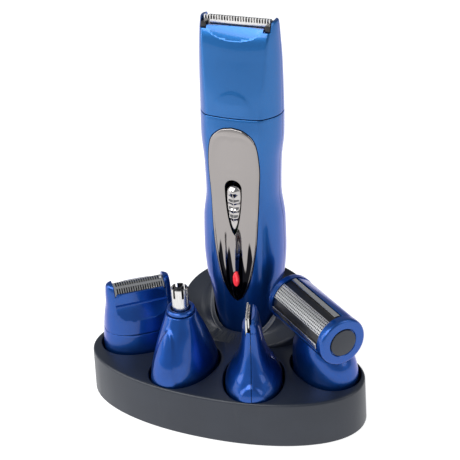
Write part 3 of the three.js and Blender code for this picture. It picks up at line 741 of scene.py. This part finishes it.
def handle_solid(z0, z1, grow=0.0, drop=0.0, step=1.3, low_edge=0.0, high_edge=0.0, arch=False):
    """The handle's form between two heights, moved outwards by grow and along the handle by drop."""
    heights = []
    if low_edge:
        heights += [(z0 + inward, -short) for inward, short in quarter_round(low_edge)[:-1]]
    rows = max(2, int((z1 - z0) / step))
    heights += [(z, 0.0) for z in np.linspace(z0 + low_edge, z1 - high_edge, rows)]
    if high_edge:
        heights += [(z1 - short, -inward) for inward, short in quarter_round(high_edge)[1:]]
    rings = []
    for z, shrink in heights:
        row = handle_ring(z, grow + shrink)
        if arch:
            front = row[:, 1] < 0
            row[:, 1] -= np.where(front, thumb_arch(row[:, 0], row[:, 2]), 0)
        row[:, 2] += drop
        rings.append(row)
    return loft("handle", rings)


def drop_outline(top, bottom, half, count=40):
    """A slot outline with a round top and a narrow foot, clockwise."""
    points = []
    centre = top - half
    for a in np.linspace(0, math.pi, count // 2):
        points.append((half * math.cos(a), centre + half * math.sin(a)))
    length = centre - bottom
    for t in np.linspace(0, 1, count // 2)[1:]:
        width = half * math.cos(t * math.pi / 2) ** 0.62
        points.append((-width, centre - length * t))
    mirrored = [(-x, z) for x, z in reversed(points[count // 2:-1])]
    return points + mirrored


def oval_outline(centre, half_height, half_width, sides=32):
    angles = np.linspace(0, 2 * math.pi, sides, endpoint=False)
    return [(half_width * math.cos(a), centre + half_height * math.sin(a)) for a in angles]


def panel_outline(grow, count=90):
    """The panel's outline, from its top down the right side and up the left, as an array."""
    length = np.concatenate([[0], np.cumsum(np.hypot(*np.diff(PANEL_HALF_WIDTHS, axis=0).T))])
    path = smooth(np.column_stack([length, PANEL_HALF_WIDTHS]), np.linspace(0, length[-1], count))
    right = np.column_stack([path[:, 1], path[:, 0]])
    left = right[1:-1][::-1] * [-1, 1]
    outline = np.vstack([right, left])
    ahead = np.roll(outline, -1, 0) - np.roll(outline, 1, 0)
    normal = np.column_stack([-ahead[:, 1], ahead[:, 0]])
    normal /= np.linalg.norm(normal, axis=1)[:, None]
    return outline + normal * grow


def panel_slot_cutters():
    slot = prism(drop_outline(SWITCH["slot_top"], SWITCH["slot_bottom"], SWITCH["slot_half"]), -40, -6)
    lens = prism(oval_outline(LENS["centre"], LENS["half_height"] + GAP, LENS["half_width"] + GAP), -40, -6)
    return slot, lens


def build_handle_shells():
    outer = handle_solid(HANDLE_BOTTOM, NECK, 0, high_edge=0.35, low_edge=0.3)
    hollow = handle_solid(HANDLE_BOTTOM + 2.4, NECK - 2.8, -HANDLE_WALL, step=3)
    pocket = cut(prism(panel_outline(GAP), -40, -6), handle_solid(HANDLE_BOTTOM, NECK, -1.3))
    neck_bore, inlet_bore = rod(4.6, NECK - 6, NECK + 1), rod(4.3, 7, 14)
    shell = cut(outer, hollow, pocket, *panel_slot_cutters(), neck_bore, inlet_bore)
    front, rear = halves(shell)
    holes = [shifted(rod(2.4, 0, 12), moved((0, 6, z)) @ turned(-90, "X"))
             for z in (34, 132)]
    cut(rear, *holes)
    for obj, name, node in ((front, "front_casing", "handle_front_shell"),
                            (rear, "rear_casing", "handle_rear_shell")):
        install(rounded(obj, 0.18, 1, 45), name, "handle", node, "blue_plastic", IN_HANDLE)


def stipple_height(x, s):
    """Small moulded dots in a patch just above the switch."""
    height = np.zeros_like(x)
    pitch = 0.95
    for row in range(7):
        for column in range(-4, 5):
            cx = (column + 0.5 * (row % 2)) * pitch
            cz = 110.6 + row * pitch * 0.9
            if abs(cx) > 3.9 - 0.28 * abs(row - 3):
                continue
            away = np.hypot(x - cx, s - cz)
            height += 0.16 * np.clip(1 - (away / 0.36) ** 2, 0, 1)
    return height


def panel_field_height(x, s, inset):
    """Height of the panel inside its border over the handle's front; inset is the way in from the border."""
    across = np.abs(x) / np.maximum(np.interp(s, PANEL_HALF_WIDTHS[::-1, 0], PANEL_HALF_WIDTHS[::-1, 1]), 0.5)
    low = np.clip((96 - s) / 22, 0, 1)
    low = low * low * (3 - 2 * low)
    flutes = -0.32 * np.cos(across * math.pi * 2.1) * low
    dish = -0.5 * (1 - (1 - np.clip(inset / 4, 0, 1)) ** 2)
    return dish + flutes


def build_panel():
    outer = panel_outline(0)
    count = len(outer)
    top, bottom = 128.0, 52.0
    spine = np.column_stack([np.zeros(count), np.clip(outer[:, 1], bottom, top)])
    reach = np.linalg.norm(spine - outer, axis=1)
    border = np.interp(outer[:, 1], [44, 60, 90, 118, 130, 135.2], [0.9, 1.0, 1.1, 1.3, 2.6, 4.2])
    border = np.minimum(border, reach * 0.6)
    rim = [(0.0, -0.05), (0.08, 0.2), (0.22, 0.38), (0.42, 0.48), (0.6, 0.5)]
    levels = []
    for inset, height in rim:
        at = outer + (spine - outer) * np.minimum(inset / reach, 0.5)[:, None]
        levels.append((at, np.full(count, height)))
    for t in (0.35, 0.7, 0.92):
        away = 0.6 + (border - 0.6) * t
        at = outer + (spine - outer) * np.minimum(away / reach, 0.6)[:, None]
        levels.append((at, np.full(count, 0.5) - 0.06 * t))
    inner = outer + (spine - outer) * (border / reach)[:, None]
    for t in np.linspace(0, 1, 26):
        at = inner + (spine - inner) * t
        inset = np.linalg.norm(at - inner, axis=1)
        height = 0.44 + panel_field_height(at[:, 0], at[:, 1], inset)
        height = height + stipple_height(at[:, 0], at[:, 1])
        levels.append((at, height))
    front = [on_front(at, height) for at, height in levels]
    back = [on_front(at, -1.0) for at, _ in (levels[-1], levels[8], levels[0])]
    rows = back + front
    panel = make("panel", np.vstack(rows), bands(len(rows), count))
    work = bmesh.new()
    work.from_mesh(panel.data)
    bmesh.ops.remove_doubles(work, verts=work.verts, dist=1e-4)
    bmesh.ops.dissolve_degenerate(work, edges=work.edges, dist=1e-5)
    bmesh.ops.recalc_face_normals(work, faces=work.faces)
    work.to_mesh(panel.data)
    work.free()
    cut(panel, *panel_slot_cutters())
    rounded(panel, 0.2, 2, 50)
    install(panel, "chrome_panel", "handle", "front_panel", "chrome_panel", IN_HANDLE, 40, CHROME_WITH_PAINTED_REFLECTION)


def build_switch():
    """The slider: a thumb bump at its top end and three ribs below."""
    top, bottom, half = SWITCH["top"], SWITCH["bottom"], SWITCH["half"]
    outline = np.array(drop_outline(top, bottom, half, 56))
    count = len(outline)

    def shape(x, s):
        bump_up = 1.5 * np.exp(-((s - 103.4) / 2.1) ** 2 - (x / 2.6) ** 2)
        ribs = np.zeros_like(x)
        for z in (97.8, 93.8, 89.8):
            ribs = ribs + 0.75 * np.exp(-((s - z - 0.25 * np.abs(x)) / 0.75) ** 2)
        return (bump_up + ribs) * np.clip(1 - (x / half) ** 4, 0, 1)

    spine = np.column_stack([np.zeros(count), np.clip(outline[:, 1], bottom + 3, top - half)])
    rows = [on_front(outline, -2.6)]
    for t in np.linspace(0, 0.985, 16):
        at = outline + (spine - outline) * t
        rise = -1.0 + 0.8 * math.sqrt(max(0, 1 - (1 - min(t * 2.2, 1)) ** 2))
        rows.append(on_front(at, rise + shape(at[:, 0], at[:, 1]) * min(1, t * 5)))
    slider = loft("slider", rows, close="face")
    mesh_out(slider)
    install(slider, "slider", "power_switch", "power_switch", "chrome_panel", IN_HANDLE, 60)


def build_lens():
    """The charge light: its sides go down into its hole and its top is domed."""
    outline = np.array(oval_outline(LENS["centre"], LENS["half_height"], LENS["half_width"], 40))
    centre = outline.mean(0)

    rows = [on_front(outline, -2.6)]
    for t in np.linspace(0, 1, 9):
        at = outline + (centre - outline) * (t**1.3) * 0.999
        rows.append(on_front(at, 0.1 + 0.75 * math.sqrt(max(0.0, 1 - (1 - min(t * 1.15, 1)) ** 2))))
    lens = loft("lens", rows)
    mesh_out(lens)
    install(lens, "charge_lens", "handle", "indicator_lens", "red_lens", IN_HANDLE, 50)


# ---- trimmer head
def comb(half, bottom, root, top, teeth, y0, y1):
    """A comb plate: teeth with sloping flanks and blunt tips."""
    points = [(-half, bottom), (half, bottom)]
    pitch = 2 * half / (2 * teeth - 1)
    for i in range(2 * teeth - 1):
        right = half - i * pitch
        if i % 2 == 0:
            points += [(right - pitch * 0.08, top - 0.25), (right - pitch * 0.3, top),
                       (right - pitch * 0.7, top), (right - pitch * 0.92, top - 0.25)]
        else:
            points += [(right + pitch * 0.1, root + 0.2), (right - pitch * 0.3, root),
                       (right - pitch * 0.7, root), (right - pitch * 1.1, root + 0.2)]
    return prism(points, y0, y1)


def build_trimmer_head():
    outer = handle_solid(SEAM, HORN_TOP, 0, step=0.5, low_edge=0.35, high_edge=0.5, arch=True)
    hollow = handle_solid(SEAM - 2, DECK - 2.4, -HANDLE_WALL, step=3)
    horn_gap = box(-HORN_INSIDE, HORN_INSIDE, -FAR, FAR, DECK, FAR)
    gate = box(-HORN_INSIDE, HORN_INSIDE, BLADE_GATE_FRONT, 3.6, 170, FAR)
    scoop_rings = []
    for v in np.linspace(-1, 1, 121)[1:-1]:
        across, up = math.cos(v * math.pi / 2), math.sin(v * math.pi / 2)
        scoop_rings.append(ring(SCOOP["z"] + SCOOP["radius"] * up, SCOOP["half_length"] * across,
                                SCOOP["radius"] * across, None, 2, SCOOP["y"], 240))
    scoop = loft("scoop", scoop_rings)
    corners = mirrored_boxes(13.4, HORN_INSIDE, -FAR, -5, 178.9, FAR)
    shell = cut(outer, hollow, horn_gap, gate, scoop, *corners)
    front, rear = halves(shell)
    for obj, name, node in ((front, "head_front", "head_front_cover"),
                            (rear, "head_rear", "head_rear_cover")):
        install(rounded(obj, 0.22, 2, 40), name, "trimmer_head", node, "blue_plastic", IN_HANDLE)

    y, root, top = BLADE["y"], BLADE["root"], BLADE["top"]
    band_half = BLADE["band_half"]
    carrier = cut(box(-16.2, 16.2, -4.9, 3.2, 172, root - 0.4),
                  box(-band_half - GAP, band_half + GAP, -10, 10, 174, FAR),
                  box(-4.6, 4.6, -3, 2, 160, 180))
    ends = mirrored_boxes(13.9, 16.3, -6.3, -2, 179.2, root - 0.4)
    # painted shade: a black block behind the teeth stands in for the shade in the gaps between them
    painted_shade_block = cut(box(-14.8, 14.8, -1.5, 1.4, 174.5, top - 1.5), box(-4.6, 4.6, -3, 2, 160, 180))
    carrier = join(carrier, *ends, painted_shade_block)
    install(rounded(carrier, 0.3, 2), "carrier", "trimmer_head", "blade_carrier", "black_plastic", IN_HANDLE)
    band = box(-band_half, band_half, y - 0.5, y + 0.4, BLADE["bottom"], root - 0.1)
    teeth = comb(BLADE["comb_half"], root - 0.5, root, top, BLADE["teeth"], y - 0.5, y + 0.4)
    install(join(band, teeth), "comb_blade", "trimmer_head", "fixed_blade", "steel", IN_HANDLE)

    moving = comb(12, BLADE["bottom"] + 0.5, root - 0.3, top - 0.4, 15, y + 0.7, y + 1.5)
    stem = box(-3, 3, y + 1.2, 0.6, 150.6, BLADE["bottom"] + 2)
    eye = cut(box(-5.2, 5.2, -4, 4, 147.8, 151.6), box(-3.7, 3.7, -2.6, 2.6, 140, 150.3))
    install(join(moving, stem, eye), "cutter_blade", "moving_blade", "moving_blade", "steel", IN_HANDLE)


# ---- mini shaver
def recess(z0, z1):
    return loft("recess", [ring(z, 13.6, 9.2, None, 2.5) for z in (z0, z1)])


def foil_arch(half, radius, z0, rows, pitch, bar, spread=88.0, thickness=0.2):
    """A foil arched about X with rows of slots across its curve; bar is the metal's share of a pitch."""
    xs = [-half]
    slots = int((2 * half - 1.2) / pitch)
    start = -slots * pitch / 2
    for i in range(slots):
        xs += [start + (i + bar) * pitch, start + (i + 1) * pitch]
    xs += [half]
    angles = []
    slotted = []  # whether the strip that starts at each angle has slots
    per_row = 2 * spread / rows
    for row in range(rows):
        low = -spread + row * per_row
        angles += [low, *np.linspace(low + per_row * 0.12, low + per_row * 0.88, 5)]
        slotted += [False, True, True, True, True, False]
    angles.append(spread)
    vertices = []
    for angle in angles:
        a = math.radians(angle)
        for x in xs:
            vertices.append((x, -radius * math.sin(a), z0 + radius * math.cos(a)))
    width = len(xs)
    faces = []
    for j in range(len(angles) - 1):
        for i in range(width - 1):
            if slotted[j] and i % 2 == 1 and i < width - 2:
                continue
            a = j * width + i
            faces.append((a, a + 1, a + 1 + width, a + width))
    return thicken(make("foil", vertices, faces), thickness, -1)


def build_mini_shaver():
    body = "mini_shaver"
    seam = 33.4
    base = housing("base", [[HEAD_BOTTOM, 18, 12.6], [24, 18.9, 13.4], [seam, 18.1, 12.4]], 2.3,
                   top_edge=0.3, bottom_edge=0.4)
    install(cut(base, recess(0, 40)), "mini_base", body, "mini_shaver_base_ring", "blue_plastic", MINI_SPOT)

    block = housing("body", [
        [seam + GAP, 18.05, 12.35], [40, 17.3, 10.8], [47, 16.2, 8.8], [53, 15.9, 6.9], [56.6, 15.5, 5.4],
        [58, 14.9, 4]], 2.5, top_edge=1.2, bottom_edge=0.3)
    bay = join(box(-12.4, 12.4, -FAR, FAR, 54, FAR), box(-12.4, 12.4, -5.3, 5.3, 51, FAR))
    scoop = shifted(rod(14, -12.6, 12.6, sides=128),
                    moved((0, -19.9, 51)) @ turned(90, "Y"))
    room = loft("room", [ring(z, x, y, None, 2.5) for z, x, y in ((30, 14, 8.6), (44, 12, 5))])
    lever_slot = box(-2.6, 2.6, -2, 2, 40, 60)
    block = cut(block, bay, scoop, room, lever_slot)
    install(rounded(block, 0.3, 2, 38), "mini_body", body, "mini_shaver_body", "blue_plastic", MINI_SPOT)

    foil = foil_arch(12.1, 5, 51.6, 3, 1.15, 0.45)
    install(foil, "mini_foil", body, "mini_shaver_foil", "steel", MINI_SPOT)


# ---- nose trimmer
def build_nose_trimmer():
    body = "nose_trimmer"
    top = 54.6
    cone = housing("cone", [
        *HEAD_FOOT, [32, 17, 12.4], [38, 14.6, 11.2], [45, 11.6, 9.6],
        [50, 9.2, 8.2], [top, 7.2, 7]], 2.15, 240, 0.5, 0.3, 0.4, arch=(-1, 49, 0.45, 0.9))
    cut(cone, recess(0, 18), rod(3.4, 10, 60))
    install(cone, "nose_cone", body, "nose_trimmer_cone", "blue_plastic", NOSE_SPOT)

    z = top + GAP
    collar = washer("collar", [(4.4, z), (6.4, z), (6.7, z + 0.4), (6.7, z + 1.5),
                               (6.3, z + 2.1), (5.6, z + 2.3), (4.8, z + 2.0), (4.4, z + 1.2)])
    install(collar, "nose_collar", body, "nose_trimmer_collar", "blue_plastic", NOSE_SPOT)

    guard = washer("guard", [(3.3, z), (4.05, z), (4.05, 67.3), (3.9, 67.8), (3.6, 68), (3.3, 67.8)])
    slots = [shifted(box(-6, 6, -0.55, 0.55, 63.4, 70), turned(a, "Z"))
             for a in (0, 60, 120)]
    cut(guard, *slots)
    install(guard, "nose_guard", body, "nose_trimmer_guard", "steel", NOSE_SPOT)


# ---- detail trimmer
def build_detail_trimmer():
    body = "detail_trimmer"
    shoulder = 54.4
    block = housing("block", [
        *HEAD_FOOT, [30, 17.2, 11.3], [36, 14.4, 7.9], [43.6, 11.2, 5.6],
        [50, 9.4, 4.7], [shoulder, 8.6, 4.1]], 2.2, 240, 0.5, 0.4, 0.4, arch=(1, 31, 0.16, 0.9))
    hood = housing("hood", [[50, 8.6, 4.4], [58, 8, 3.6], [60.6, 7.2, 2.6]], 2.4, top_edge=0.5)
    bay = box(-7.8, 7.8, -2.6, 0.6, 50, 70)
    throat = box(-3.2, 3.2, -2.6, 0.6, 14, 60)
    rear = cut(join(copy_of(block), hood), recess(0, 18), copy_of(bay), copy_of(throat),
               box(-FAR, FAR, -FAR, GAP / 2, 0, FAR))
    front = cut(block, recess(0, 18), bay, throat, box(-FAR, FAR, -GAP / 2, FAR, 0, FAR))
    for obj, name, node in ((front, "detail_front", "detail_trimmer_front_shell"),
                            (rear, "detail_rear", "detail_trimmer_rear_shell")):
        install(rounded(obj, 0.15, 2, 45), name, body, node, "blue_plastic", DETAIL_SPOT)
    blade = comb(7.5, 50.4, 59.4, 61, 13, -2.2, -1.5)
    install(blade, "detail_comb", body, "detail_trimmer_fixed_blade", "steel", DETAIL_SPOT)


# ---- body shaver
ROUND_BARREL = moved((0, BARREL["y"], BARREL["z"])) @ turned(90, "Y")


def sector(from_degrees, to_degrees, inner, outer, x0, x1, steps=24):
    """A block round the barrel's axis between two angles (front 0, top 90) and two radii."""
    angles = np.radians(np.linspace(from_degrees, to_degrees, steps + 1))
    outside = [(BARREL["y"] - outer * math.cos(a), BARREL["z"] + outer * math.sin(a)) for a in angles]
    inside = [(BARREL["y"] - inner * math.cos(a), BARREL["z"] + inner * math.sin(a)) for a in angles[::-1]]
    return prism(outside + inside, x0, x1, axis="X")


def perforated_foil(from_degrees, to_degrees, radius, x0, x1, pitch=1.2, hole=0.4, thickness=0.12):
    """A curved foil with rows of round holes."""
    columns = int((x1 - x0) / pitch)
    rows = int(math.radians(to_degrees - from_degrees) * radius / pitch)
    step_x = (x1 - x0) / columns
    step_a = math.radians(to_degrees - from_degrees) / rows
    vertices = []
    index = {}

    def point(x, a):
        key = (round(x, 4), round(a, 6))
        if key not in index:
            index[key] = len(vertices)
            vertices.append((x, BARREL["y"] - radius * math.cos(a), BARREL["z"] + radius * math.sin(a)))
        return index[key]

    faces = []
    for i in range(columns):
        for j in range(rows):
            cx = x0 + (i + 0.5) * step_x
            ca = math.radians(from_degrees) + (j + 0.5) * step_a
            around = []
            inside = []
            for k in range(8):
                a = k * math.pi / 4
                px, pa = math.cos(a), math.sin(a)
                size = max(abs(px), abs(pa))
                around.append(point(cx + px / size * step_x / 2, ca + pa / size * step_a / 2))
                inside.append(point(cx + px * hole, ca + pa * hole / radius))
            for k in range(8):
                m = (k + 1) % 8
                faces.append((around[k], around[m], inside[m], inside[k]))
    foil = make("foil", vertices, faces)
    mesh_out(foil)
    return thicken(foil, thickness, 0)


def build_body_shaver():
    body = "body_shaver"
    half, radius, cap = BARREL["half"], BARREL["radius"], BARREL["cap"]
    dome = housing("dome", [
        *HEAD_FOOT, [31, 18, 13, 0.6], [37, 15.4, 11.8, 2], [42, 11.8, 10, 3.4],
        [48, 9, 8, 4.6]], 2.15, 240, 0.5, 0, 0.4)
    barrel_room = shifted(rod(radius + GAP, -FAR, FAR, sides=96), ROUND_BARREL)
    throat = box(-2.8, 2.8, -7, -3, 14, 60)
    cut(dome, recess(0, 18), barrel_room, copy_of(throat))
    install(dome, "shaver_base", body, "body_shaver_base", "blue_plastic", BODY_SPOT)

    barrel = cut(sector(103, 342, 9, radius, -half, half, 90), throat)
    rounded(barrel, 0.25, 2, 40)
    install(barrel, "shaver_barrel", body, "body_shaver_barrel", "blue_plastic", BODY_SPOT)
    for name, start, end in (("front_rail", -17, FOIL[0] - 0.5), ("upper_rail", FOIL[1] + 0.5, 102)):
        rail = rounded(sector(start, end, 9, radius - 0.7, -half, half), 0.3, 2, 40)
        install(rail, name, body, f"body_shaver_{name}", "black_plastic", BODY_SPOT)
    foil = perforated_foil(*FOIL, radius - 0.16, -half, half)
    install(foil, "shaver_foil", body, "body_shaver_foil", "steel", BODY_SPOT, material=FOIL_STEEL)
    for side, start, end in (("lower", -9, 4), ("upper", 84, 96)):
        strip = sector(start, end, radius - 0.4, radius + 0.3, -half + 0.6, half - 0.6, 8)
        rounded(strip, 0.12, 2, 40)
        install(strip, f"shaver_{side}_strip", body, f"body_shaver_{side}_trimmer", "steel", BODY_SPOT)
    for side, sign in (("outer", 1), ("inner", -1)):
        outside = radius + 0.2
        profile = [(1.0, 0.0), (outside, 0.0)]
        profile += [(outside - inward, cap - short) for inward, short in quarter_round(1.5, 7)]
        profile += [(BARREL["disc"] + 0.7, cap), (BARREL["disc"] + 0.35, cap - 0.3),
                    (BARREL["disc"] + GAP, cap - 1), (1.0, cap - 1)]
        ring_cap = washer("cap", profile, 96)
        disc = rod(BARREL["disc"], cap - 0.7, cap + 0.15, sides=96, edge=0.3)
        start = moved((0, 0, half + GAP))
        flip = Matrix.Identity(4) if sign > 0 else turned(180, "X")
        at = BODY_SPOT @ ROUND_BARREL @ flip @ start
        install(ring_cap, f"shaver_{side}_cap", body, f"body_shaver_{side}_cap", "blue_plastic", at)
        install(disc, f"shaver_{side}_disc", body, f"body_shaver_{side}_disc", "stand_plastic", at)


# ---- studio
def build_studio():
    floor = make("floor", [(-6, -6, 0), (6, -6, 0), (6, 6, 0), (-6, 6, 0)], [(0, 1, 2, 3)])
    surface = Surface("floor")
    surface.shade(Base_Color=(0.5, 0.5, 0.5, 1), Roughness=0.9, Specular_IOR_Level=0.0,
                  Emission_Color=(1, 1, 1, 1), Emission_Strength=FLOOR_GLOW)
    floor.data.materials.append(surface.material)

    world = bpy.data.worlds.new("studio")
    world.use_nodes = True
    background = world.node_tree.nodes["Background"]
    background.inputs["Color"].default_value = (0.9, 0.94, 1.0, 1)
    background.inputs["Strength"].default_value = WORLD_GLOW
    bpy.context.scene.world = world
    for name, at, size, power in LIGHTS:
        data = bpy.data.lights.new(name, "AREA")
        data.shape = "RECTANGLE"
        data.size, data.size_y = size
        data.energy = power
        lamp = new_object(name, data)
        lamp.location = at
        aim = LIGHTS_AIM - Vector(at)
        lamp.rotation_euler = aim.to_track_quat("-Z", "Y").to_euler()


def build_camera():
    """The camera looks down on the stand from the front right, slightly rolled."""
    azimuth, elevation, roll = math.radians(21.55), math.radians(29.67), math.radians(3.13)
    distance = 0.7
    focal_in_frames = 1384.97 / 460
    back = Vector((math.sin(azimuth) * math.cos(elevation), -math.cos(azimuth) * math.cos(elevation),
                   math.sin(elevation)))
    right = Vector((math.cos(azimuth), math.sin(azimuth), 0))
    up = back.cross(right)
    side = right * math.cos(roll) - up * math.sin(roll)
    top = right * math.sin(roll) + up * math.cos(roll)
    data = bpy.data.cameras.new("camera")
    data.sensor_width = 36
    data.lens = focal_in_frames * data.sensor_width
    data.clip_start, data.clip_end = 0.05, 50
    camera = new_object("camera", data)
    target = Vector((-0.01763, 0.05908, 0.06))
    camera.matrix_world = moved(target + back * distance) @ Matrix((
        (side.x, top.x, back.x, 0), (side.y, top.y, back.y, 0), (side.z, top.z, back.z, 0), (0, 0, 0, 1)))
    bpy.context.scene.camera = camera
    bpy.context.scene.view_settings.view_transform = "Standard"


# ---- the whole
def dress_cad_nodes():
    """Every CAD node that stays gets its slot's material, except the cutters, which get steel darkened as painted
    shade.
    """
    slots = {part["node"]: part["material_slot"] for part in frame["record"]["subparts"]}
    for name, obj in frame["nodes"].items():
        material = SHADED_CUTTER_STEEL if name.endswith("cutter") else SLOT_MATERIALS[slots[name]]
        obj.data.materials.clear()
        obj.data.materials.append(material)


build_camera()
build_studio()
dress_cad_nodes()
build_stand()
build_handle_shells()
build_panel()
build_switch()
build_lens()
build_trimmer_head()
build_mini_shaver()
build_nose_trimmer()
build_detail_trimmer()
build_body_shaver()
